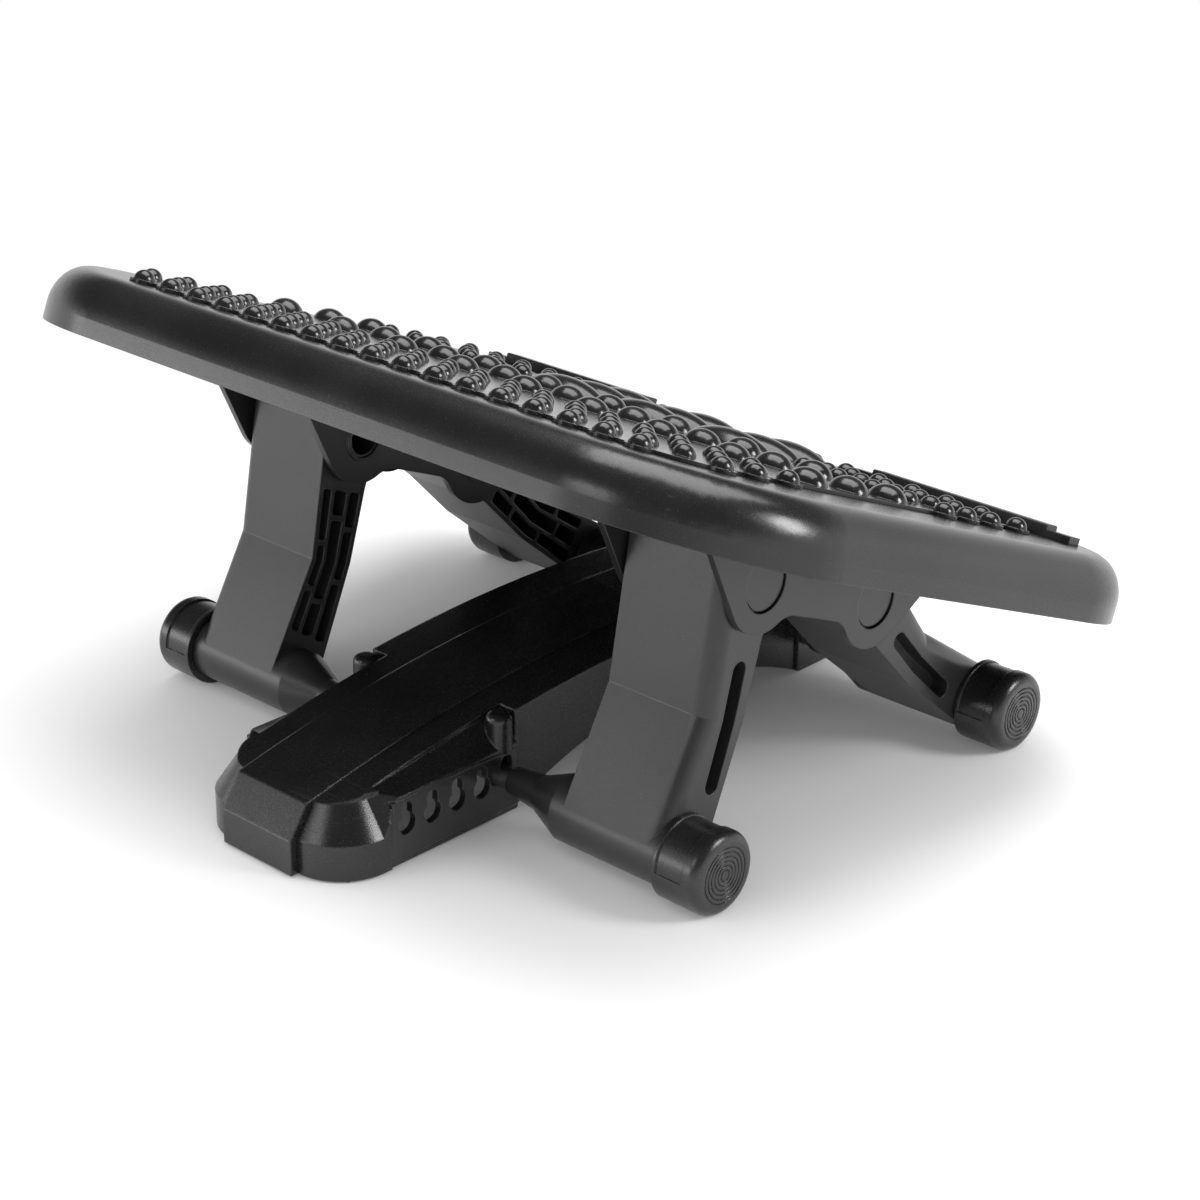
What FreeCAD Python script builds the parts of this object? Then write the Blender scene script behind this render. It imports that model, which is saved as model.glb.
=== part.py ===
import FreeCAD, Part
import math
import os

os.makedirs("parts", exist_ok=True)

# Shared frame: X along the long side, -Y towards the raised edge, Z up, floor at zero.
# All sizes are in millimetres and all angles in degrees.

# Linkage
foot_spacing = 210.0
leg_length = 120.0
hinge_spacing = 82.0
platform_tilt = 22.6

# Clearances
running_gap = 0.05
loose_gap = 0.3
open_hinge_gap = 2.0
press_gap = 0.0

# Feet
foot_radius = 19.0
foot_cap_length = 24.5
foot_cap_wall = 4.8
foot_cap_depth = 17.0
foot_edge_round = 4.5
foot_saddle_drop = 0.8
foot_saddle_start = 2.0
foot_saddle_length = 14.5
ring_count = 6
ring_pitch = 2.0
ring_outer_radius = 12.9
ring_width = 0.7
ring_depth = 0.6

# Legs
leg_inner_x = 95.0
leg_outer_x = 150.0
tube_radius = 15.7
knee_height = 59.0
knee_front = 8.0
upper_facet_lean = 11.5
leg_back_foot_offset = 15.6
leg_back_knee_offset = 17.3
leg_back_head_offset = 14.2
leg_back_head_height = 96.0
leg_head_radius = 29.6
leg_heel_reach = 10.0
leg_edge_round = 8.0
leg_wall = 3.0
leg_rib = 1.9
leg_front_wall = 2.6
leg_slot_width = 8.4
leg_slot_low = 31.0
leg_slot_high = 81.0
leg_slot_low_across = -8.2
leg_slot_knee_across = -7.6
leg_slot_high_across = -5.0
leg_slot_depth = 9.0
leg_slot_wall = 1.6
pocket_corner = 1.6
sleeve_shoulder_x = 88.0
sleeve_neck_x = 70.0
sleeve_neck_radius = 8.2
sleeve_end_x = 53.0
sleeve_end_radius = 6.4
sleeve_bore_depth = 22.0

# Cross rods
rod_radius = 5.0

# Hinge pins and washers
pin_radius = 9.25
pin_bore_radius = 7.9
pin_head_radius = 12.0
pin_head_thickness = 1.4
pin_head_recess = 0.8
pin_head_gap = 0.9
pin_floor = 3.0
washer_thickness = 1.0
washer_radius = 14.0

# Brackets
side_gap = 1.6
outer_cheek_thickness = 3.4
inner_cheek_thickness = 3.6
cheek_lobe_radius = 22.2
cheek_arch_depth = 11.6
cheek_arch_round = 15.0
cheek_front_reach = 84.5
cheek_back_reach = 79.0
cheek_ear_height = 10.5
cheek_tab_length = 34.0
cheek_tab_offset = 30.0
cheek_ring_radius = 11.0
cheek_ring_height = 1.0
bracket_plate_bottom = 31.0
bracket_plate_thickness = 3.0
bracket_plate_length = 166.0
bracket_screw_x = 17.0
bracket_screw_y = 77.0

# Screws
screw_radius = 2.0
screw_head_radius = 3.8
screw_head_height = 2.4
screw_length = 6.4

# Platform tray, measured in its own tilted frame from the hinge line
tray_length = 450.0
tray_depth = 356.0
tray_corner = 82.0
tray_shift = 3.0
tray_rim = 15.5
tray_top = 43.5
tray_edge_reach = 17.0
tray_edge_drop = 20.0
tray_wall = 3.0
tray_roof = 4.0
tray_rib = 2.0
tray_rib_pitch = 30.0
tray_rib_depth = 12.0
tray_boss_radius = 5.0

# Massage mat and its domes
mat_rise = 1.6
mat_seat_depth = 1.6
mat_corner = 26.0
mat_back_corner = 14.0
mat_plug_inset = 9.0
mat_scallop = 1.4
small_dome_radius = 5.0
small_dome_height = 4.7
oval_dome_half_length = 9.3
oval_dome_half_width = 8.0
oval_dome_height = 6.3
long_dome_half_length = 24.0
long_dome_half_width = 11.3
long_dome_height = 7.0
front_row = -141.0
front_row_pitch = 18.9
front_row_count = 17
near_rows = (-117.5, -95.5, -73.3)
oval_rows = (-42.5, -12.3, 17.4)
far_rows = (43.0, 61.4, 81.3)
long_rows = (45.0, 68.0, 91.0)
last_row = 104.0
side_row_pitch = 19.33
side_row_count = 19
oval_pitch = 40.3
oval_count = 9
long_pitch = 52.0
long_count = 3

# Heel strips
strip_length = 126.0
strip_width = 9.0
strip_low = 3.6
strip_high = 6.0
strip_step = 13.0
strip_centre_x = 123.0
strip_centre_y = 136.0
strip_round = 0.8

# Base
base_half_length = 205.0
base_half_width = 48.5
base_waist_step = 2.5
base_end_corner = 26.0
base_end_height = 17.3
base_slope_run = 10.5
base_slope_top = 33.0
base_bevel_fade = 14.0
base_bevel_rise = 6.0
base_top = 55.0
base_end_top = 33.0
base_shoulder_drop = 0.8
base_arch_top = 24.0
base_arch_reach = 3.0
base_floor_gap = 1.0
base_wall = 4.0
base_roof = 4.0
waist_wall = 3.0
strip_half_width = 22.0
centre_strip_thickness = 2.0
centre_strip_lift = 0.2
centre_strip_reach = 4.0
panel_start_inset = 30.0
panel_end_inset = 7.0
panel_shelf_height = 33.0
panel_shelf_low_top = 35.8
panel_shelf_top = 46.6
panel_shelf_depth = 12.0
plate_inset = 1.0
plate_thickness = 3.5
window_margin = 2.0
slot_pitch = 15.0
slot_count = 5
slot_neck_width = 6.6
slot_height = 10.5
tower_radius = 6.0
tower_top = 49.2
tower_round = 3.4
tower_bottom = 27.0
pad_length = 34.0
pad_width = 15.0
pad_recess = 1.5
pad_inset_x = 25.0
pad_inset_y = 18.0

# Values that follow from the ones above
overlap = 0.5
along_axis = 0.9
foot_y = foot_spacing / 2
cap_start_x = leg_outer_x + loose_gap
cap_end_x = cap_start_x + foot_cap_length
spigot_radius = foot_radius - foot_cap_wall
leg_width = leg_outer_x - leg_inner_x
inner_cheek_x = leg_inner_x - side_gap
outer_cheek_x = leg_outer_x + side_gap
bracket_inner_x = inner_cheek_x - inner_cheek_thickness
bracket_outer_x = outer_cheek_x + outer_cheek_thickness
bracket_mid_x = (bracket_inner_x + bracket_outer_x) / 2
pin_head_x = bracket_outer_x - pin_head_recess - pin_head_thickness
bracket_plate_top = bracket_plate_bottom + bracket_plate_thickness
half_hinge = hinge_spacing / 2
mat_seat = tray_top - mat_seat_depth
mat_top = tray_top + mat_rise
mat_length = (side_row_count - 1) * side_row_pitch
mat_depth = last_row - front_row
mat_centre = (front_row + last_row) / 2
long_reach = long_pitch + long_dome_half_length + small_dome_radius
tray_ceiling = tray_top - tray_roof
slot_radius = rod_radius + running_gap
plate_face_x = base_half_width - plate_inset
base_waist_half_width = base_half_width - base_waist_step
panel_start = base_half_length - panel_start_inset
panel_end = foot_y - panel_end_inset
base_arch_half = panel_end + base_arch_reach
pad_y = base_half_length - pad_inset_y

X_AXIS = FreeCAD.Vector(1, 0, 0)
Y_AXIS = FreeCAD.Vector(0, 1, 0)
Z_AXIS = FreeCAD.Vector(0, 0, 1)
ORIGIN = FreeCAD.Vector(0, 0, 0)


def point(x, y, z):
    return FreeCAD.Vector(x, y, z)


def solve_linkage():
    """Lean of the front and rear legs from upright, for the stored tilt."""
    tilt = math.radians(platform_tilt)
    reach_y = foot_spacing - hinge_spacing * math.cos(tilt)
    reach_z = hinge_spacing * math.sin(tilt)
    half_sum = math.asin(math.hypot(reach_y, reach_z) / (2 * leg_length))
    half_difference = math.atan2(reach_z, reach_y)
    return math.degrees(half_sum - half_difference), math.degrees(half_sum + half_difference)


front_lean, rear_lean = solve_linkage()
front_hinge_y = -foot_y + leg_length * math.sin(math.radians(front_lean))
front_hinge_z = foot_radius + leg_length * math.cos(math.radians(front_lean))
rear_hinge_y = foot_y - leg_length * math.sin(math.radians(rear_lean))
rear_hinge_z = foot_radius + leg_length * math.cos(math.radians(rear_lean))
hinge_mid = point(0, (front_hinge_y + rear_hinge_y) / 2, (front_hinge_z + rear_hinge_z) / 2)


def save(name, shape):
    shape.exportStep("parts/" + name + ".step")


def box(x0, x1, y0, y1, z0, z1):
    return Part.makeBox(x1 - x0, y1 - y0, z1 - z0, point(x0, y0, z0))


def rod_x(radius, x0, x1, y=0.0, z=0.0):
    return Part.makeCylinder(radius, x1 - x0, point(x0, y, z), X_AXIS)


def cone_x(radius0, radius1, x0, x1):
    return Part.makeCone(radius0, radius1, x1 - x0, point(x0, 0, 0), X_AXIS)


def rod_z(radius, z0, z1, x=0.0, y=0.0):
    return Part.makeCylinder(radius, z1 - z0, point(x, y, z0), Z_AXIS)


def slab_x(outline, x0, x1):
    """Closed outline of (y, z) pairs, extruded from x0 to x1."""
    corners = [point(x0, y, z) for y, z in outline]
    wire = Part.makePolygon(corners + corners[:1])
    return Part.Face(wire).extrude(point(x1 - x0, 0, 0))


def mirror_x(shape):
    return shape.mirror(ORIGIN, X_AXIS)


def mirror_y(shape):
    return shape.mirror(ORIGIN, Y_AXIS)


def round_prism(length, depth, corner, z0, z1, centre_y=0.0):
    """Upright block with rounded vertical corners."""
    block = box(-length / 2, length / 2, centre_y - depth / 2, centre_y + depth / 2, z0, z1)
    upright = [e for e in block.Edges if abs(e.tangentAt(e.FirstParameter).z) > along_axis]
    return block.makeFillet(corner, upright)


def to_platform(shape):
    """Move a shape from the tilted frame of the tray into the shared frame."""
    moved = shape.copy()
    moved.rotate(ORIGIN, X_AXIS, -platform_tilt)
    moved.translate(hinge_mid)
    return moved


def to_front(shape):
    moved = shape.copy()
    moved.rotate(ORIGIN, X_AXIS, -front_lean)
    moved.translate(point(0, -foot_y, foot_radius))
    return moved


def to_rear(shape):
    moved = mirror_y(shape)
    moved.rotate(ORIGIN, X_AXIS, rear_lean)
    moved.translate(point(0, foot_y, foot_radius))
    return moved


# Legs, drawn upright over the foot axis; the outer side of the knee faces -Y.
facet_turn = math.atan2(knee_front, knee_height)


def lower_facet_angle():
    """Angle of the facet that touches the tube and passes through the knee."""
    reach = math.hypot(knee_front, knee_height)
    return math.asin(tube_radius / reach) - facet_turn


def head_corner():
    """Height and reach where the upper facet meets the round of the head."""
    slope = math.tan(math.radians(upper_facet_lean))
    start = knee_front + (leg_length - knee_height) * slope
    a = 1 + slope * slope
    b = start * slope
    c = start * start - leg_head_radius * leg_head_radius
    rise = (-b + math.sqrt(b * b - a * c)) / a
    return start + slope * rise, leg_length + rise


def leg_plate():
    turn = lower_facet_angle()
    reach, height = head_corner()
    corner_angle = math.atan2(height - leg_length, -reach)
    middle_angle = (corner_angle + math.pi / 2) / 2
    top = leg_length + leg_head_radius
    foot_front = point(0, -tube_radius * math.cos(turn), tube_radius * math.sin(turn))
    knee = point(0, -knee_front, knee_height)
    corner = point(0, -reach, height)
    arc_middle_y = leg_head_radius * math.cos(middle_angle)
    arc_middle_z = leg_length + leg_head_radius * math.sin(middle_angle)
    arc_middle = point(0, arc_middle_y, arc_middle_z)
    crown = point(0, 0, top)
    heel = point(0, leg_heel_reach, top)
    heel_low = point(0, leg_back_head_offset, leg_length + tube_radius)
    back_head = point(0, leg_back_head_offset, leg_back_head_height)
    back_knee = point(0, leg_back_knee_offset, knee_height)
    back_foot = point(0, leg_back_foot_offset, 0)
    sides = [
        Part.makeLine(foot_front, knee),
        Part.makeLine(knee, corner),
        Part.Arc(corner, arc_middle, crown).toShape(),
        Part.makeLine(crown, heel),
        Part.makeLine(heel, heel_low),
        Part.makeLine(heel_low, back_head),
        Part.makeLine(back_head, back_knee),
        Part.makeLine(back_knee, back_foot),
        Part.makeLine(back_foot, ORIGIN),
        Part.makeLine(ORIGIN, foot_front),
    ]
    face = Part.Face(Part.Wire(sides))
    face.translate(point(leg_inner_x, 0, 0))
    plate = face.extrude(point(leg_width, 0, 0))
    outer_edges = [e for e in plate.Edges if is_front_edge(e, height)]
    return plate.makeFillet(leg_edge_round, outer_edges)


def is_front_edge(edge, height):
    box_of = edge.BoundBox
    on_outer_side = box_of.XMin > leg_outer_x - overlap
    on_front = box_of.YMax < 0 and box_of.ZMin > 0
    return on_outer_side and on_front and box_of.ZMax < height + overlap and edge.Length > knee_height / 2


def front_line(z):
    """Distance of the front skin's inside from the leg's axis, at height z."""
    if z < knee_height:
        turn = lower_facet_angle()
        outside = (tube_radius - z * math.sin(turn)) / math.cos(turn)
    else:
        outside = knee_front + (z - knee_height) * math.tan(math.radians(upper_facet_lean))
    return -(outside - leg_front_wall)


def back_line(z):
    if z < knee_height:
        share = z / knee_height
        outside = leg_back_foot_offset + share * (leg_back_knee_offset - leg_back_foot_offset)
    else:
        share = (z - knee_height) / (leg_back_head_height - knee_height)
        outside = leg_back_knee_offset + share * (leg_back_head_offset - leg_back_knee_offset)
    return outside - leg_front_wall


# Pocket columns as shares of the leg's depth, each with its pockets as shares of the leg's length.
pocket_columns = (
    (0.0, 0.22, ((0.2, 0.365), (0.385, 0.55), (0.57, 0.775))),
    (0.31, 0.64, ((0.185, 0.315), (0.335, 0.655), (0.675, 0.775))),
    (0.73, 1.0, ((0.165, 0.4), (0.42, 0.615), (0.635, 0.775))),
)


def leg_pocket(share0, share1, low, high):
    heights = [low, high]
    if low < knee_height < high:
        heights = [low, knee_height, high]
    front = [(front_line(z) + share0 * (back_line(z) - front_line(z)), z) for z in heights]
    back = [(front_line(z) + share1 * (back_line(z) - front_line(z)), z) for z in reversed(heights)]
    pocket = slab_x(front + back, leg_inner_x - overlap, leg_outer_x - leg_wall)
    corners = [e for e in pocket.Edges if is_end_corner(e, low, high)]
    return pocket.makeFillet(pocket_corner, corners)


def is_end_corner(edge, low, high):
    height = edge.BoundBox.Center.z
    at_end = min(abs(height - low), abs(height - high)) < overlap
    return at_end and abs(edge.tangentAt(edge.FirstParameter).x) > along_axis


def leg_slot(width, x0, x1):
    """Bent slot, used for the recess in the closed outer side and for the cup behind it."""
    path = (
        (-leg_slot_low_across, leg_slot_low),
        (-leg_slot_knee_across, knee_height),
        (-leg_slot_high_across, leg_slot_high),
    )
    pieces = []
    for (y0, z0), (y1, z1) in zip(path, path[1:]):
        run = math.hypot(y1 - y0, z1 - z0)
        side_y = (z1 - z0) / run * width / 2
        side_z = -(y1 - y0) / run * width / 2
        outline = (
            (y0 + side_y, z0 + side_z),
            (y1 + side_y, z1 + side_z),
            (y1 - side_y, z1 - side_z),
            (y0 - side_y, z0 - side_z),
        )
        pieces.append(slab_x(outline, x0, x1))
    pieces += [rod_x(width / 2, x0, x1, y, z) for y, z in path]
    return pieces[0].multiFuse(pieces[1:]).removeSplitter()


def tube():
    """Lower cross tube, its taper towards the base and the spigot for the foot cap."""
    barrel = rod_x(tube_radius, sleeve_shoulder_x, leg_outer_x)
    taper = cone_x(sleeve_neck_radius, tube_radius, sleeve_neck_x, sleeve_shoulder_x)
    nose = cone_x(sleeve_end_radius, sleeve_neck_radius, sleeve_end_x, sleeve_neck_x)
    spigot = rod_x(spigot_radius, leg_outer_x - overlap, cap_start_x + foot_cap_depth)
    return barrel.multiFuse([taper, nose, spigot])


def leg(hinge_bore):
    body = leg_plate().fuse(tube())
    cuts = [
        leg_pocket(share0, share1, low * leg_length, high * leg_length)
        for share0, share1, spans in pocket_columns
        for low, high in spans
    ]
    cuts.append(rod_x(hinge_bore, leg_inner_x - overlap, leg_outer_x + overlap, 0, leg_length))
    rod_seat = rod_x(rod_radius, sleeve_end_x - overlap, sleeve_end_x + sleeve_bore_depth)
    cuts.append(rod_seat)
    floor_x = leg_outer_x - leg_slot_depth
    cup_width = leg_slot_width + 2 * leg_slot_wall
    cup = leg_slot(cup_width, floor_x - leg_slot_wall, leg_outer_x - leg_wall + overlap)
    return body.cut(cuts).fuse(cup).cut(leg_slot(leg_slot_width, floor_x, leg_outer_x + overlap))


def foot_cap():
    """Round foot with rings in its face and a lower, ribbed saddle over its top."""
    cap = rod_x(foot_radius, cap_start_x, cap_end_x)
    rim = [e for e in cap.Edges if e.BoundBox.XMin > cap_end_x - overlap]
    cap = cap.makeFillet(foot_edge_round, rim)
    saddle_x0 = cap_start_x + foot_saddle_start
    saddle_x1 = saddle_x0 + foot_saddle_length
    ring = rod_x(foot_radius + overlap, saddle_x0, saddle_x1)
    ring = ring.cut(rod_x(foot_radius - foot_saddle_drop, saddle_x0, saddle_x1))
    reach = foot_radius + overlap
    upper = box(saddle_x0, saddle_x1, -reach, reach, 0, reach)
    cuts = [ring.common(upper), rod_x(spigot_radius, cap_start_x - overlap, cap_start_x + foot_cap_depth)]
    for i in range(ring_count):
        radius = ring_outer_radius - i * ring_pitch
        groove = rod_x(radius, cap_end_x - ring_depth, cap_end_x + overlap)
        cuts.append(groove.cut(rod_x(radius - ring_width, cap_end_x - ring_depth, cap_end_x + overlap)))
    return cap.cut(cuts)


def build_frames():
    front_leg = to_front(leg(pin_radius + running_gap))
    rear_leg = to_rear(leg(pin_radius + open_hinge_gap))
    cap = foot_cap()
    front_cap = cap.copy()
    front_cap.translate(point(0, -foot_y, foot_radius))
    rear_cap = cap.copy()
    rear_cap.translate(point(0, foot_y, foot_radius))
    rod_half = sleeve_end_x + sleeve_bore_depth
    save("front_leg_right", front_leg)
    save("front_leg_left", mirror_x(front_leg))
    save("rear_leg_right", rear_leg)
    save("rear_leg_left", mirror_x(rear_leg))
    save("front_foot_right", front_cap)
    save("front_foot_left", mirror_x(front_cap))
    save("rear_foot_right", rear_cap)
    save("rear_foot_left", mirror_x(rear_cap))
    save("front_cross_rod", rod_x(rod_radius, -rod_half, rod_half, -foot_y, foot_radius))
    save("rear_cross_rod", rod_x(rod_radius, -rod_half, rod_half, foot_y, foot_radius))


# Platform pieces, drawn level with the hinge line at zero height.
def tray_shell(length, depth, corner, bottom, top, reach, drop):
    """Dish with an elliptical top edge: a round edge squashed in height."""
    squash = drop / reach
    block = round_prism(length, depth, corner, 0, (top - bottom) / squash, 0)
    rim = [e for e in block.Edges if e.BoundBox.ZMin > (top - bottom) / squash - overlap]
    block = block.makeFillet(reach, rim)
    matrix = FreeCAD.Matrix()
    matrix.scale(1, 1, squash)
    block = block.transformGeometry(matrix)
    block.translate(point(0, tray_shift, bottom))
    return block


def tray_ribs():
    """Stiffening grid under the roof, kept clear of both brackets."""
    reach_x = tray_length / 2 - tray_edge_reach
    reach_y = tray_depth / 2 - tray_edge_reach
    top = tray_ceiling + overlap
    low = tray_ceiling - tray_rib_depth
    ribs = []
    steps_x = int(reach_x / tray_rib_pitch)
    steps_y = int(reach_y / tray_rib_pitch)
    for i in range(-steps_x, steps_x + 1):
        x = i * tray_rib_pitch
        y0 = tray_shift - reach_y
        y1 = tray_shift + reach_y
        ribs.append(box(x - tray_rib / 2, x + tray_rib / 2, y0, y1, low, top))
    for i in range(-steps_y, steps_y + 1):
        y = tray_shift + i * tray_rib_pitch
        ribs.append(box(-reach_x, reach_x, y - tray_rib / 2, y + tray_rib / 2, low, top))
    grid = ribs[0].multiFuse(ribs[1:])
    clear_y = bracket_plate_length / 2 + tray_boss_radius
    x0 = bracket_inner_x - tray_boss_radius
    x1 = bracket_outer_x + tray_boss_radius
    pocket = box(x0, x1, -clear_y, clear_y, low - overlap, bracket_plate_top + loose_gap)
    return grid.cut([pocket, mirror_x(pocket)])


def screw_places():
    return [
        (side * bracket_mid_x + step_x * bracket_screw_x, step_y * bracket_screw_y)
        for side in (-1, 1)
        for step_x in (-1, 1)
        for step_y in (-1, 1)
    ]


def build_tray():
    outer = tray_shell(
        tray_length, tray_depth, tray_corner, tray_rim, tray_top, tray_edge_reach, tray_edge_drop
    )
    inner = tray_shell(
        tray_length - 2 * tray_wall,
        tray_depth - 2 * tray_wall,
        tray_corner - tray_wall,
        tray_rim - overlap,
        tray_ceiling,
        tray_edge_reach - tray_wall,
        tray_edge_drop - tray_wall,
    )
    shell = outer.cut(inner)
    seat = mat_plug(tray_top + overlap)
    bosses = [
        rod_z(tray_boss_radius, bracket_plate_top, tray_ceiling + overlap, x, y)
        for x, y in screw_places()
    ]
    tray = shell.cut(seat).multiFuse([tray_ribs().common(outer)] + bosses)
    hole_top = bracket_plate_bottom + screw_length
    holes = [rod_z(screw_radius, bracket_plate_bottom, hole_top, x, y) for x, y in screw_places()]
    save("platform_tray", to_platform(tray.cut(holes)))


def dome(half_length, half_width, height):
    """Cap of a ball, stretched along X to an oval, with its foot at the mat's top."""
    ball_radius = (half_width * half_width + height * height) / (2 * height)
    ball = Part.makeSphere(ball_radius, point(0, 0, height - ball_radius))
    reach = ball_radius + overlap
    cap = ball.common(box(-reach, reach, -reach, reach, -overlap, height + overlap))
    if half_length > half_width:
        matrix = FreeCAD.Matrix()
        matrix.scale(half_length / half_width, 1, 1)
        cap = cap.transformGeometry(matrix)
    return cap


def placed(shape, x, y, z):
    moved = shape.copy()
    moved.translate(point(x, y, z))
    return moved


def dome_row(y, pitch, count):
    return [((i - (count - 1) / 2) * pitch, y) for i in range(count)]


def small_places():
    """Rows of small domes; the far rows leave the middle to the long domes."""
    places = dome_row(front_row, front_row_pitch, front_row_count)
    for y in near_rows + (last_row,):
        places += dome_row(y, side_row_pitch, side_row_count)
    for y in far_rows:
        row = dome_row(y, side_row_pitch, side_row_count)
        places += [(x, y) for x, y in row if abs(x) > long_reach]
    return places


def at_border(x, y):
    return abs(x) > mat_length / 2 - overlap or y in (front_row, last_row)


def mat_plug(top):
    """Lower part of the mat, let into the tray."""
    length = mat_length - 2 * mat_plug_inset
    depth = mat_depth - 2 * mat_plug_inset
    return round_prism(length, depth, mat_corner - mat_plug_inset, mat_seat, top, mat_centre)


def mat_sheet():
    """Flat upper part of the mat, scalloped round the domes along its border."""
    back = round_prism(mat_length, mat_depth, mat_back_corner, tray_top, mat_top, mat_centre)
    depth = mat_depth + 2 * mat_corner
    front = round_prism(mat_length, depth, mat_corner, tray_top, mat_top, mat_centre + mat_corner)
    radius = small_dome_radius + mat_scallop
    discs = [rod_z(radius, tray_top, mat_top, x, y) for x, y in small_places() if at_border(x, y)]
    return back.common(front).multiFuse(discs)


def build_mat():
    small = dome(small_dome_radius, small_dome_radius, small_dome_height)
    oval = dome(oval_dome_half_length, oval_dome_half_width, oval_dome_height)
    long = dome(long_dome_half_length, long_dome_half_width, long_dome_height)
    mat = mat_sheet().fuse(mat_plug(tray_top + overlap))
    places = small_places()
    for row_y in (front_row, last_row) + near_rows + far_rows:
        mat = mat.multiFuse([placed(small, x, y, mat_top) for x, y in places if y == row_y])
    for row_y in oval_rows:
        row = dome_row(row_y, oval_pitch, oval_count)
        mat = mat.multiFuse([placed(oval, x, y, mat_top) for x, y in row])
    for row_y in long_rows:
        row = dome_row(row_y, long_pitch, long_count)
        mat = mat.multiFuse([placed(long, x, y, mat_top) for x, y in row])
    save("massage_mat", to_platform(mat))


def build_strips():
    x0 = strip_centre_x - strip_length / 2
    x1 = strip_centre_x + strip_length / 2
    y0 = strip_centre_y - strip_width / 2
    y1 = strip_centre_y + strip_width / 2
    low = box(x0, x1, y0, y1, tray_top, tray_top + strip_low)
    high = box(x0 + strip_step, x1 - strip_step, y0, y1, tray_top, tray_top + strip_high)
    strip = low.fuse(high).removeSplitter()
    crest = [e for e in strip.Edges if e.BoundBox.ZMin > tray_top + strip_high - overlap]
    strip = strip.makeFillet(strip_round, crest)
    save("heel_strip_right", to_platform(strip))
    save("heel_strip_left", to_platform(mirror_x(strip)))


def cheek(x0, x1):
    """Two-lobed hinge plate with an arch between the lobes and tabs up to the top plate."""
    front_y = -cheek_front_reach
    back_y = cheek_back_reach
    lobe_drop = cheek_lobe_radius * math.sqrt(0.5)
    outline = (
        (front_y, cheek_ear_height),
        (-half_hinge - lobe_drop, -lobe_drop),
        (-half_hinge, 0),
        (-half_hinge + lobe_drop, -cheek_arch_depth),
        (half_hinge - lobe_drop, -cheek_arch_depth),
        (half_hinge, 0),
        (half_hinge + lobe_drop, -lobe_drop),
        (back_y, cheek_ear_height),
    )
    body = slab_x(outline, x0, x1)
    lobes = [rod_x(cheek_lobe_radius, x0, x1, side * half_hinge) for side in (-1, 1)]
    tabs = []
    for side in (-1, 1):
        y0 = side * cheek_tab_offset - cheek_tab_length / 2
        y1 = side * cheek_tab_offset + cheek_tab_length / 2
        tabs.append(box(x0, x1, y0, y1, cheek_ear_height - overlap, bracket_plate_top))
    ceiling = box(x0, x1, front_y, back_y, cheek_ear_height, bracket_plate_top)
    plate = body.multiFuse(lobes).cut(ceiling).multiFuse(tabs).removeSplitter()
    return plate.makeFillet(cheek_arch_round, arch_corners(plate))


def arch_corners(plate):
    """Inner corners where the arch meets the two lobes."""
    found = []
    for edge in plate.Edges:
        middle = edge.BoundBox.Center
        along_x = edge.BoundBox.XLength > edge.BoundBox.YLength + edge.BoundBox.ZLength
        at_arch = abs(middle.z + cheek_arch_depth) < overlap and abs(middle.y) < half_hinge
        if along_x and at_arch:
            found.append(edge)
    return found


def build_bracket():
    outer = cheek(outer_cheek_x, bracket_outer_x)
    inner = cheek(bracket_inner_x, inner_cheek_x)
    half_plate = bracket_plate_length / 2
    top = box(
        bracket_inner_x, bracket_outer_x, -half_plate, half_plate, bracket_plate_bottom, bracket_plate_top
    )
    ring_x = bracket_inner_x - cheek_ring_height
    rings = [
        rod_x(cheek_ring_radius, ring_x, bracket_inner_x + overlap, side * half_hinge)
        for side in (-1, 1)
    ]
    cuts = []
    for side in (-1, 1):
        y = side * half_hinge
        cuts.append(rod_x(pin_radius, ring_x - overlap, bracket_outer_x + overlap, y))
        cuts.append(rod_x(pin_head_radius + pin_head_gap, pin_head_x, bracket_outer_x + overlap, y))
    z0 = bracket_plate_bottom - overlap
    z1 = bracket_plate_top + overlap
    cuts += [rod_z(screw_radius, z0, z1, x, y) for x, y in screw_places() if x > 0]
    bracket = outer.multiFuse([inner, top] + rings).removeSplitter().cut(cuts)
    save("bracket_right", to_platform(bracket))
    save("bracket_left", to_platform(mirror_x(bracket)))


def build_pins():
    for side, name in ((-1, "front"), (1, "rear")):
        y = side * half_hinge
        head = rod_x(pin_head_radius, pin_head_x, pin_head_x + pin_head_thickness, y)
        shank = rod_x(pin_radius, bracket_inner_x, pin_head_x + overlap, y)
        bore = rod_x(pin_bore_radius, bracket_inner_x - overlap, pin_head_x - pin_floor, y)
        pin = head.fuse(shank).cut(bore)
        save("hinge_pin_" + name + "_right", to_platform(pin))
        save("hinge_pin_" + name + "_left", to_platform(mirror_x(pin)))


def build_washers():
    inner_x = leg_inner_x - side_gap / 2
    outer_x = leg_outer_x + side_gap / 2
    washers = []
    for centre_x in (inner_x, outer_x, -inner_x, -outer_x):
        for y in (-half_hinge, half_hinge):
            x0 = centre_x - washer_thickness / 2
            x1 = centre_x + washer_thickness / 2
            disc = rod_x(washer_radius, x0, x1, y)
            washers.append(disc.cut(rod_x(pin_radius + running_gap, x0, x1, y)))
    save("hinge_washers", to_platform(Part.makeCompound(washers)))


def build_bracket_screws():
    screws = []
    tip = bracket_plate_bottom + screw_length
    head_low = bracket_plate_bottom - screw_head_height
    for x, y in screw_places():
        shank = rod_z(screw_radius, bracket_plate_bottom - overlap, tip, x, y)
        head = rod_z(screw_head_radius, head_low, bracket_plate_bottom, x, y)
        screws.append(shank.fuse(head))
    save("bracket_screws", to_platform(Part.makeCompound(screws)))


# Base, drawn in place.
def arc_radius(half_chord, rise):
    return (half_chord * half_chord + rise * rise) / (2 * rise)


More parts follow.
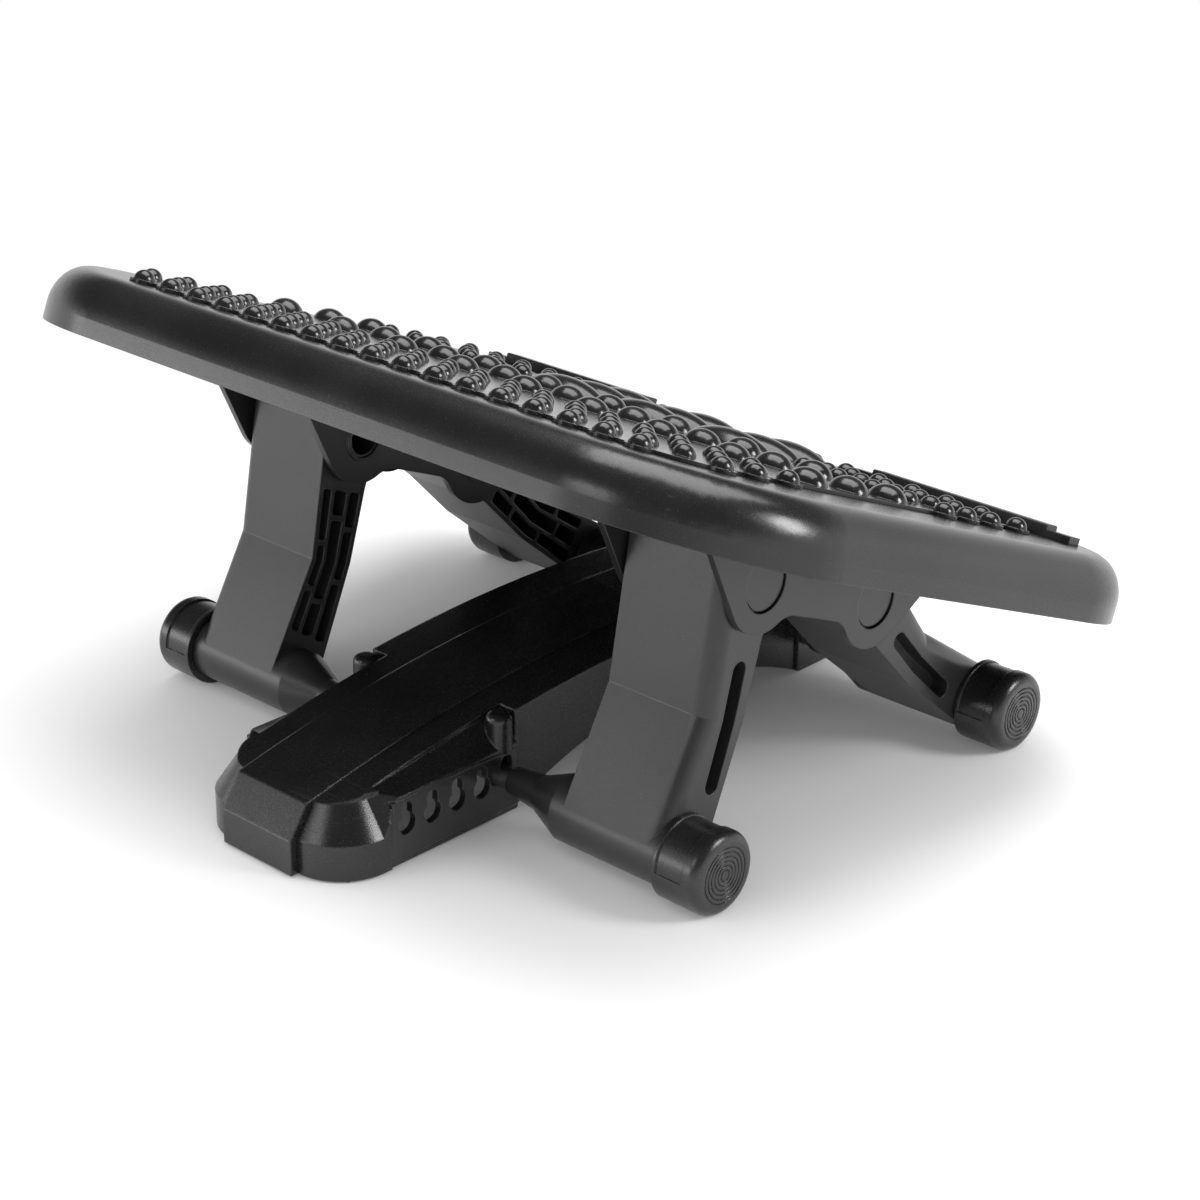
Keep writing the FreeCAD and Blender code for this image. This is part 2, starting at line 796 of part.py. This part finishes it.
def drum(radius, top):
    """Long cylinder along X whose crest is at the given height."""
    reach = base_half_width + base_end_corner
    return rod_x(radius, -reach, reach, 0, top - radius)


def end_wedge(offset):
    """Material removed in front of the sloped ends."""
    y0 = base_half_length - offset
    outline = (
        (y0, base_end_height),
        (y0 - base_slope_run, base_slope_top),
        (y0 - base_slope_run, base_top + base_end_corner),
        (y0 + base_end_corner, base_top + base_end_corner),
        (y0 + base_end_corner, base_end_height),
    )
    wedge = slab_x(outline, -base_half_width - overlap, base_half_width + overlap)
    return [wedge, mirror_y(wedge)]


def base_block(inset, top, top_radius):
    half_width = base_half_width - inset
    half_length = base_half_length - inset
    corner = base_end_corner - inset
    block = round_prism(2 * half_width, 2 * half_length, corner, base_floor_gap, base_top)
    block = block.common(drum(top_radius, top))
    return block.cut(end_wedge(inset))


def corner_bevels():
    """Bevel that follows the sloped end round each corner and dies out along the side."""
    centre_x = base_half_width - base_end_corner
    centre_y = -(base_half_length - base_end_corner)
    top = base_top + base_wall
    narrow = base_end_corner - base_slope_run
    cone = Part.makeCone(
        base_end_corner, narrow, base_slope_top - base_end_height, point(centre_x, centre_y, base_end_height)
    )
    post = rod_z(narrow, base_slope_top, top, centre_x, centre_y)
    reach = base_end_corner + overlap
    corner = box(centre_x, centre_x + reach, centre_y - reach, centre_y, base_end_height, top)
    fade = solid_between(
        point(base_half_width, centre_y, base_end_height),
        point(base_half_width - base_slope_run, centre_y, base_slope_top),
        point(base_half_width, centre_y + base_bevel_fade, base_slope_top + base_bevel_rise),
        point(base_half_width, centre_y, top),
    )
    tools = corner.cut([cone, post]).fuse(fade)
    return four_ways(tools)


def solid_between(a, b, c, d):
    """Four-cornered solid."""
    corners = ((a, b, c), (a, b, d), (b, c, d), (a, c, d))
    faces = [Part.Face(Part.makePolygon([p, q, r, p])) for p, q, r in corners]
    return Part.Solid(Part.Shell(faces))


def waist_cut():
    """Thin slab that narrows the middle of the base between the towers."""
    x0 = base_waist_half_width
    slab = box(x0, base_half_width + overlap, -panel_end, panel_end, 0, base_top)
    return [slab, mirror_x(slab)]


def panel_cuts():
    """Sloped shelf above each slotted panel and the shallow seat of the panel itself."""
    ends = [shelf_wire(-panel_start, panel_shelf_low_top), shelf_wire(-panel_end, panel_shelf_top)]
    return four_ways(Part.makeLoft(ends, True, True))


def shelf_wire(y, top):
    """Cross-section of the cut at one end: the shelf climbs inwards to the given height."""
    x_out = base_half_width + overlap
    x_in = base_half_width - panel_shelf_depth
    outline = (
        (plate_face_x, panel_shelf_height),
        (x_in, top),
        (x_in, base_top),
        (x_out, base_top),
        (x_out, 0),
        (plate_face_x, 0),
    )
    corners = [point(x, y, z) for x, z in outline]
    return Part.makePolygon(corners + corners[:1])


def panel_window(inset, x0, x1):
    z0 = base_floor_gap + window_margin - inset
    z1 = panel_shelf_height - window_margin + inset
    y0 = -panel_start + window_margin - inset
    y1 = -panel_end - loose_gap + inset
    return box(x0, x1, y0, y1, z0, z1)


def four_ways(shape):
    other = mirror_x(shape)
    return [shape, other, mirror_y(shape), mirror_y(other)]


def towers():
    x = base_waist_half_width - tower_radius / 2
    shaft = rod_z(tower_radius, tower_bottom, tower_top, x, -foot_y)
    crown = [e for e in shaft.Edges if e.BoundBox.ZMin > tower_top - overlap]
    return four_ways(shaft.makeFillet(tower_round, crown))


def build_base():
    sag = base_top - base_end_top
    top_radius = arc_radius(base_half_length - base_slope_run, sag)
    under_radius = arc_radius(base_arch_half, base_arch_top)
    shoulder = base_block(0, base_top - base_shoulder_drop, top_radius)
    ridge_top = base_top - centre_strip_thickness + centre_strip_lift
    ridge = base_block(0, ridge_top, top_radius)
    seat = box(-strip_half_width, strip_half_width, -base_half_length, base_half_length, 0, base_top)
    middle = ridge.common(seat)
    body = shoulder.cut([seat] + corner_bevels()).fuse(middle)
    body = body.cut(waist_cut() + panel_cuts()).multiFuse(towers())
    return body, top_radius, under_radius


def hollow_base(body, top_radius, under_radius):
    inner = round_prism(
        2 * (base_waist_half_width - panel_shelf_depth),
        2 * (base_half_length - base_slope_run - base_wall),
        base_end_corner - base_slope_run - base_wall,
        0,
        base_top,
    )
    waist = box(
        -base_waist_half_width + waist_wall,
        base_waist_half_width - waist_wall,
        -panel_end + waist_wall,
        panel_end - waist_wall,
        0,
        base_top,
    )
    hollow = inner.fuse(waist).common(drum(top_radius, base_top - base_shoulder_drop - base_roof))
    window_depth = plate_thickness + base_wall + panel_shelf_depth
    side = panel_window(0, plate_face_x - window_depth, base_half_width + overlap)
    arch = drum(under_radius, base_arch_top)
    cuts = [hollow, arch] + four_ways(side)
    return body.cut(cuts)


def notch_plate():
    """Panel with a row of bottle-shaped notches for the cross rod."""
    x0 = plate_face_x - plate_thickness
    plate = panel_window(press_gap, x0, plate_face_x)
    notches = []
    for i in range(slot_count):
        y = -foot_y - i * slot_pitch
        z = foot_radius
        notches.append(rod_x(slot_radius, x0 - overlap, plate_face_x + overlap, y, z))
        half_neck = slot_neck_width / 2
        neck_top = z + slot_height - half_neck
        neck = box(x0 - overlap, plate_face_x + overlap, y - half_neck, y + half_neck, z, neck_top)
        notches += [neck, rod_x(half_neck, x0 - overlap, plate_face_x + overlap, y, neck_top)]
    return plate.cut(notches)


def centre_strip(top_radius):
    """Cover strip that runs over the top and down both ends."""
    top = base_top + centre_strip_lift
    outer = base_block(-centre_strip_reach, top, top_radius)
    inner = base_block(0, top - centre_strip_thickness, top_radius)
    reach = base_half_length + centre_strip_reach + overlap
    band = box(-strip_half_width, strip_half_width, -reach, reach, 0, top + overlap)
    return outer.common(band).cut(inner)


def pads():
    places = [(side * pad_inset_x, end * pad_y) for side in (-1, 1) for end in (-1, 1)]
    half_x = pad_length / 2
    half_y = pad_width / 2
    top = base_floor_gap + pad_recess
    return [box(x - half_x, x + half_x, y - half_y, y + half_y, 0, top) for x, y in places]


def build_base_pieces():
    body, top_radius, under_radius = build_base()
    body = hollow_base(body, top_radius, under_radius)
    rubber = pads()
    save("base_body", body.cut(rubber))
    save("base_centre_strip", centre_strip(top_radius))
    save("base_pads", Part.makeCompound(rubber))
    plate = notch_plate()
    save("notch_plate_front_right", plate)
    save("notch_plate_front_left", mirror_x(plate))
    save("notch_plate_rear_right", mirror_y(plate))
    save("notch_plate_rear_left", mirror_y(mirror_x(plate)))


build_frames()
build_tray()
build_mat()
build_strips()
build_bracket()
build_pins()
build_washers()
build_bracket_screws()
build_base_pieces()
print("front lean", front_lean, "rear lean", rear_lean)
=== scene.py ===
import math
import bpy
from mathutils import Matrix, Vector

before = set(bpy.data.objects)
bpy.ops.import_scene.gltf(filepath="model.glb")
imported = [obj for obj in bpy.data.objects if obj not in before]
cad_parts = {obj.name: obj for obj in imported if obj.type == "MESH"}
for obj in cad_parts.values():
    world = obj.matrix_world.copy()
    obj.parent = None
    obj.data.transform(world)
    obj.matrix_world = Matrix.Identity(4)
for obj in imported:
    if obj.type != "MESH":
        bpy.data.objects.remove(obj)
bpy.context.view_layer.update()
print("frame loaded:", len(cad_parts), "pieces")


class Wire:  # an output socket that can be used in plain expressions
    def __init__(self, finish, socket):
        self.finish = finish
        self.socket = socket

    def maths(self, operation, first, second):
        return self.finish.node("Math", {"operation": operation}, {0: first, 1: second})

    def __add__(self, other):
        return self.maths("ADD", self, other)

    __radd__ = __add__

    def __mul__(self, other):
        return self.maths("MULTIPLY", self, other)

    __rmul__ = __mul__

    def __sub__(self, other):
        return self.maths("SUBTRACT", self, other)

    def __rsub__(self, other):
        return self.maths("SUBTRACT", other, self)

    def atLeast(self, other):
        return self.maths("MAXIMUM", self, other)

    def atMost(self, other):
        return self.maths("MINIMUM", self, other)


class Finish:  # the node tree of a material or of the world, under construction
    def __init__(self, tree):
        self.tree = tree
        self.tree.nodes.clear()

    def connect(self, slot, value):
        if isinstance(value, Wire):
            self.tree.links.new(value.socket, slot)
        else:
            slot.default_value = value

    def node(self, kind, settings, values, output=0):  # settings first, then sockets; gives one output
        made = self.tree.nodes.new("ShaderNode" + kind)
        for key, value in settings.items():
            setattr(made, key, value)
        for key, value in values.items():
            self.connect(made.inputs[key], value)
        return None if output is None else Wire(self, made.outputs[output])

    def place(self):
        return self.node("TexCoord", {}, {}, "Object")

    def stretched(self, scale):  # object coordinates, scaled differently along each axis
        return self.node("Mapping", {}, {"Vector": self.place(), "Scale": scale})

    def noise(self, scale, detail=2.0, roughness=0.5, where=None):
        values = {"Scale": scale, "Detail": detail, "Roughness": roughness}
        values["Vector"] = where or self.place()
        return self.node("TexNoise", {}, values, "Fac")

    def ramp(self, value, low, high):  # 0 below low, 1 above high, an S-curve between
        values = {"Value": value, "From Min": low, "From Max": high}
        return self.node("MapRange", {"interpolation_type": "SMOOTHSTEP"}, values, "Result")

    def mix(self, share, first, second):
        return self.node("Mix", {"data_type": "RGBA"}, {0: share, 6: first, 7: second}, 2)

    def softEdges(self, radius):
        return self.node("Bevel", {"samples": 6}, {"Radius": radius}, "Normal")

    def edgeMask(self, rounded, gain):  # 1 - rounded normal . true normal, above 0 only near an edge
        true = self.node("NewGeometry", {}, {}, "Normal")
        alike = self.node("VectorMath", {"operation": "DOT_PRODUCT"}, {0: rounded, 1: true}, "Value")
        return ((1 - alike) * gain).atMost(1.0)

    def bump(self, height, distance, normal):
        values = {"Height": height, "Distance": distance, "Normal": normal}
        return self.node("Bump", {}, values, "Normal")

    def isRay(self, kind):
        return self.node("LightPath", {}, {}, "Is " + kind + " Ray")

    def seenDirectly(self):  # 1 for camera, mirror and glass rays, 0 for the rays that carry light
        total = self.isRay("Camera") + self.isRay("Glossy") + self.isRay("Transmission")
        return total.atMost(1.0)

    def close(self, shader, kind="Material"):
        self.node("Output" + kind, {}, {"Surface": shader}, None)

    def closeGlossy(self, values):
        self.close(self.node("BsdfPrincipled", {}, values, "BSDF"))


def newFinish(name):
    material = bpy.data.materials.new(name)
    material.use_nodes = True
    return material, Finish(material.node_tree)


noiseMiddle = 0.5

satinBlack = {  # lengths in metres, noise scales per metre, strengths from 0 to 1
    "colour": (0.010, 0.010, 0.0105, 1), "paler": (0.015, 0.015, 0.0155, 1),
    "worn": (0.07, 0.07, 0.071, 1), "edge": 0.0008, "edgeWear": 0.35, "scuff": 0.12,
    "dustColour": (0.12, 0.12, 0.12, 1), "dust": 0.35, "speck": 1300.0,
    "grain": 0.0006, "grainDepth": 0.00003, "cloud": 14.0, "ripple": 0.00005,
    "roughness": 0.32, "roughnessSpread": 0.12, "specular": 0.65, "brushed": 0.0,
}

plasticLevels = {  # noise levels where each mark starts and is full
    "paler": (0.35, 0.70), "worn": (0.35, 0.60), "scuffed": (0.50, 0.66), "speck": (0.70, 0.78),
}

plasticGloss = {  # how much each mark roughens the surface, and the limits of the sum
    "grain": 0.14, "edge": -0.05, "scuff": 0.1, "speck": 0.15, "least": 0.08, "most": 0.9,
}

scratches = (  # noise scale, stretch along each axis, and the levels where a scratch starts and is full
    (900.0, (0.02, 0.4, 1.0), (0.69, 0.74)),
    (800.0, (1.0, 0.03, 0.3), (0.70, 0.75)),
)

brushing = {"scale": 1400.0, "stretch": (1.0, 0.03, 0.03)}


def variant(base, **changes):
    look = dict(base)
    look.update(changes)
    return look


def scratchMarks(finish):
    marks = [
        finish.ramp(finish.noise(scale, 1.0, 0.5, finish.stretched(stretch)), *levels)
        for scale, stretch, levels in scratches
    ]
    return (marks[0] + marks[1]).atMost(1.0)


def mouldedPlastic(name, look):
    material, finish = newFinish(name)
    rounded = finish.softEdges(look["edge"])
    grain = finish.noise(1 / look["grain"], 3.0, 0.6)
    cloud = finish.noise(look["cloud"], 3.0, 0.55)
    fineCloud = finish.noise(look["cloud"] * 6, 2.0, 0.5)
    speck = finish.ramp(finish.noise(look["speck"], 1.0, 0.5), *plasticLevels["speck"])
    scuff = scratchMarks(finish) * finish.ramp(cloud, *plasticLevels["scuffed"])
    edge = finish.edgeMask(rounded, 6.0) * finish.ramp(fineCloud, *plasticLevels["worn"])

    colour = finish.mix(finish.ramp(cloud, *plasticLevels["paler"]), look["colour"], look["paler"])
    colour = finish.mix(edge * look["edgeWear"], colour, look["worn"])
    colour = finish.mix(speck * look["dust"], colour, look["dustColour"])
    colour = finish.mix(scuff * look["scuff"], colour, look["worn"])

    roughness = look["roughness"] + (cloud - noiseMiddle) * look["roughnessSpread"]
    roughness = roughness + (grain - noiseMiddle) * plasticGloss["grain"]
    roughness = roughness + edge * plasticGloss["edge"]
    roughness = roughness + scuff * plasticGloss["scuff"] + speck * plasticGloss["speck"]
    roughness = roughness.atLeast(plasticGloss["least"]).atMost(plasticGloss["most"])

    height = grain * look["grainDepth"] + fineCloud * look["ripple"]
    if look["brushed"]:
        lines = finish.noise(brushing["scale"], 2.0, 0.6, finish.stretched(brushing["stretch"]))
        height = height + lines * look["brushed"]
    finish.closeGlossy({
        "Base Color": colour, "Roughness": roughness, "Normal": finish.bump(height, 1.0, rounded),
        "Specular IOR Level": look["specular"],
    })
    return material


brushedMetal = {
    "lines": 2500.0, "lineDepth": 0.00004, "lineGloss": 0.25, "edge": 0.0003,
    "tarnish": 60.0, "tarnishFrom": 0.45, "tarnishTo": 0.7, "tarnishShare": 0.5, "tarnishGloss": 0.12,
}


def metal(name, look):
    material, finish = newFinish(name)
    lines = finish.noise(look["lines"], 2.0, 0.6, finish.stretched(look["along"]))
    tarnish = finish.noise(look["tarnish"], 3.0, 0.5)
    tarnish = finish.ramp(tarnish, look["tarnishFrom"], look["tarnishTo"])
    roughness = look["roughness"] + (lines - noiseMiddle) * look["lineGloss"]
    finish.closeGlossy({
        "Base Color": finish.mix(tarnish * look["tarnishShare"], look["colour"], look["darker"]),
        "Roughness": roughness + tarnish * look["tarnishGloss"],
        "Normal": finish.bump(lines, look["lineDepth"], finish.softEdges(look["edge"])),
        "Metallic": 1.0,
    })
    return material


padRubber = {
    "colour": (0.022, 0.022, 0.022, 1), "dustColour": (0.14, 0.135, 0.13, 1), "dust": 0.4,
    "grain": 1800.0, "grainDepth": 0.00012, "grainGloss": 0.2, "roughness": 0.72, "edge": 0.0004,
    "patches": 40.0, "patchLevels": (0.4, 0.6), "dustScale": 600.0, "dustLevels": (0.6, 0.72),
}


def rubber(name, look):
    material, finish = newFinish(name)
    grain = finish.noise(look["grain"], 3.0, 0.6)
    patches = finish.ramp(finish.noise(look["patches"], 3.0, 0.5), *look["patchLevels"])
    dust = finish.ramp(finish.noise(look["dustScale"], 2.0, 0.5), *look["dustLevels"]) * patches
    finish.closeGlossy({
        "Base Color": finish.mix(dust * look["dust"], look["colour"], look["dustColour"]),
        "Roughness": look["roughness"] + (grain - noiseMiddle) * look["grainGloss"],
        "Normal": finish.bump(grain, look["grainDepth"], finish.softEdges(look["edge"])),
    })
    return material


finishes = {
    "tray": mouldedPlastic("TraySatin", variant(
        satinBlack, colour=(0.007, 0.007, 0.0074, 1), paler=(0.011, 0.011, 0.0114, 1),
        roughness=0.25, grainDepth=0.000012, ripple=0.00003, edge=0.0006, dust=0.15, edgeWear=0.2)),
    "mat": mouldedPlastic("MatSemiGloss", variant(
        satinBlack, paler=(0.014, 0.014, 0.0145, 1), roughness=0.2, grainDepth=0.000006,
        ripple=0.00001, dust=0.15, scuff=0.05, edge=0.0005)),
    "strip": mouldedPlastic("StripSatin", variant(satinBlack, roughness=0.3)),
    "bracket": mouldedPlastic("BracketSatin", variant(satinBlack, roughness=0.36, edgeWear=0.5)),
    "leg": mouldedPlastic("LegSatin", variant(
        satinBlack, colour=(0.014, 0.014, 0.0145, 1), paler=(0.020, 0.020, 0.0205, 1),
        roughness=0.35, grainDepth=0.00006, edgeWear=0.5, edge=0.0009)),
    "foot": mouldedPlastic("FootSatin", variant(satinBlack, roughness=0.28, brushed=0.00005)),
    "base": mouldedPlastic("BaseSatin", variant(
        satinBlack, colour=(0.007, 0.007, 0.0074, 1), paler=(0.011, 0.011, 0.0114, 1),
        roughness=0.26, edgeWear=0.45, edge=0.0014)),
    "notch": mouldedPlastic("NotchGloss", variant(
        satinBlack, colour=(0.012, 0.012, 0.013, 1), paler=(0.016, 0.016, 0.017, 1),
        roughness=0.2, grainDepth=0.00001, dust=0.2, scuff=0.1)),
    "pin": mouldedPlastic("PinSatin", variant(satinBlack, roughness=0.34, edge=0.0004)),
    "washer": mouldedPlastic("WasherSatin", variant(
        satinBlack, colour=(0.03, 0.03, 0.03, 1), roughness=0.3)),
    "rod": metal("RodSteel", variant(
        brushedMetal, colour=(0.42, 0.42, 0.43, 1), darker=(0.2, 0.2, 0.2, 1), along=(0.02, 1.0, 1.0),
        roughness=0.32)),
    "screw": metal("ScrewSteel", variant(
        brushedMetal, colour=(0.30, 0.30, 0.31, 1), darker=(0.12, 0.12, 0.12, 1), along=(1.0, 1.0, 0.1),
        roughness=0.38)),
    "pad": rubber("PadRubber", padRubber),
}

nodeFinish = {  # the longest key that starts a node's name gives its finish
    "platform_tray": "tray", "massage_mat": "mat", "heel_strip": "strip", "bracket": "bracket",
    "bracket_screws": "screw", "hinge_pin": "pin", "hinge_washers": "washer",
    "front_leg": "leg", "rear_leg": "leg", "front_foot": "foot", "rear_foot": "foot",
    "front_cross_rod": "rod", "rear_cross_rod": "rod",
    "base_pads": "pad", "notch_plate": "notch", "base": "base",
}


def finishFor(nodeName):
    found = [key for key in nodeFinish if nodeName.startswith(key)]
    return finishes[nodeFinish[max(found, key=len)]]


for nodeName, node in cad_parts.items():
    node.data.materials.clear()
    node.data.materials.append(finishFor(nodeName))
print("finishes given to", len(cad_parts), "pieces")


studio = {  # metres and watts; skyFrom and skyTo are sines of the elevation, other sky values strengths
    "floorHalf": 30.0, "floorColour": (0.90, 0.90, 0.90, 1), "floorShade": (0.87, 0.87, 0.87, 1),
    "floorCloud": 3.0,
    "shadowNear": 0.16, "shadowFar": 0.50, "shadowVeil": 0.03,
    "skyHigh": 0.08, "skyLow": 1.0, "skyFrom": 0.02, "skyTo": 0.42, "skyFill": 0.75,
    "lamps": (  # name, place, aim, width, depth, power
        ("TopSoftbox", (-0.1, 0.5, 1.9), (0.0, 0.0, 0.1), 1.9, 1.4, 36.0),
        ("FrontSoftbox", (-0.5, -2.1, 1.3), (0.0, 0.0, 0.1), 1.2, 0.6, 7.0),
        ("SideSoftbox", (1.95, 0.95, 1.25), (0.0, 0.0, 0.1), 0.7, 0.8, 28.0),
        ("LowSoftbox", (-1.75, -1.95, 0.40), (0.0, 0.0, 0.15), 1.7, 0.6, 12.0),
    ),
}


def makeFloor():  # lit near the object, where the shadow falls, and plain white further out
    half = studio["floorHalf"]
    mesh = bpy.data.meshes.new("Floor")
    corners = [(-half, -half, 0), (half, -half, 0), (half, half, 0), (-half, half, 0)]
    mesh.from_pydata(corners, [], [(0, 1, 2, 3)])
    floor = bpy.data.objects.new("Floor", mesh)
    bpy.context.scene.collection.objects.link(floor)
    material, finish = newFinish("FloorPale")
    tone = finish.mix(finish.noise(studio["floorCloud"]), studio["floorColour"], studio["floorShade"])
    lit = finish.node("BsdfDiffuse", {}, {"Color": tone})
    distance = finish.node("VectorMath", {"operation": "LENGTH"}, {0: finish.place()}, "Value")
    away = finish.ramp(distance, studio["shadowNear"], studio["shadowFar"])
    white = finish.node("Emission", {}, {"Color": (1, 1, 1, 1), "Strength": 1.0})
    veil = away * (1 - studio["shadowVeil"]) + studio["shadowVeil"]
    share = veil * finish.seenDirectly()
    finish.close(finish.node("MixShader", {}, {0: share, 1: lit, 2: white}))
    mesh.materials.append(material)


def makeWorld():  # white at the horizon and dim overhead, with a fill that only carries light
    world = bpy.data.worlds.new("StudioWorld")
    bpy.context.scene.world = world
    world.use_nodes = True
    finish = Finish(world.node_tree)
    direction = finish.node("TexCoord", {}, {}, "Generated")
    height = finish.node("SeparateXYZ", {}, {0: direction}, "Z")
    low = 1 - finish.ramp(height, studio["skyFrom"], studio["skyTo"])
    strength = low * (studio["skyLow"] - studio["skyHigh"]) + studio["skyHigh"]
    strength = strength + (1 - finish.seenDirectly()) * studio["skyFill"]
    sky = finish.node("Background", {}, {"Color": (1, 1, 1, 1), "Strength": strength})
    finish.close(sky, "World")


def makeLamp(name, place, aim, width, depth, power):
    data = bpy.data.lights.new(name, "AREA")
    data.shape = "RECTANGLE"
    data.size, data.size_y, data.energy = width, depth, power
    lamp = bpy.data.objects.new(name, data)
    bpy.context.scene.collection.objects.link(lamp)
    direction = Vector(aim) - Vector(place)
    lamp.location = place
    lamp.rotation_euler = direction.to_track_quat("-Z", "Y").to_euler()


view = {  # place in metres, turns in degrees, focal length in pixels of the photograph
    "place": (0.80946, -0.86501, 0.58027), "yaw": 42.91, "pitch": 23.86, "roll": 0.50,
    "focal": 2741.99, "photoWidth": 1200.0, "sensor": 36.0, "clip": (0.05, 80.0),
}


def makeCamera():
    data = bpy.data.cameras.new("Camera")
    camera = bpy.data.objects.new("Camera", data)
    bpy.context.scene.collection.objects.link(camera)
    bpy.context.scene.camera = camera
    data.sensor_fit = "HORIZONTAL"
    data.sensor_width = view["sensor"]
    data.lens = view["focal"] / view["photoWidth"] * view["sensor"]
    yaw, pitch, roll = (math.radians(view[key]) for key in ("yaw", "pitch", "roll"))
    turn = Matrix.Rotation(yaw, 4, "Z") @ Matrix.Rotation(math.pi / 2 - pitch, 4, "X")
    turn = turn @ Matrix.Rotation(roll, 4, "Z")
    camera.matrix_world = Matrix.Translation(Vector(view["place"])) @ turn
    data.clip_start, data.clip_end = view["clip"]


makeFloor()
makeWorld()
for lamp in studio["lamps"]:
    makeLamp(*lamp)
makeCamera()
bpy.context.scene.view_settings.view_transform = "Standard"
print("studio ready")
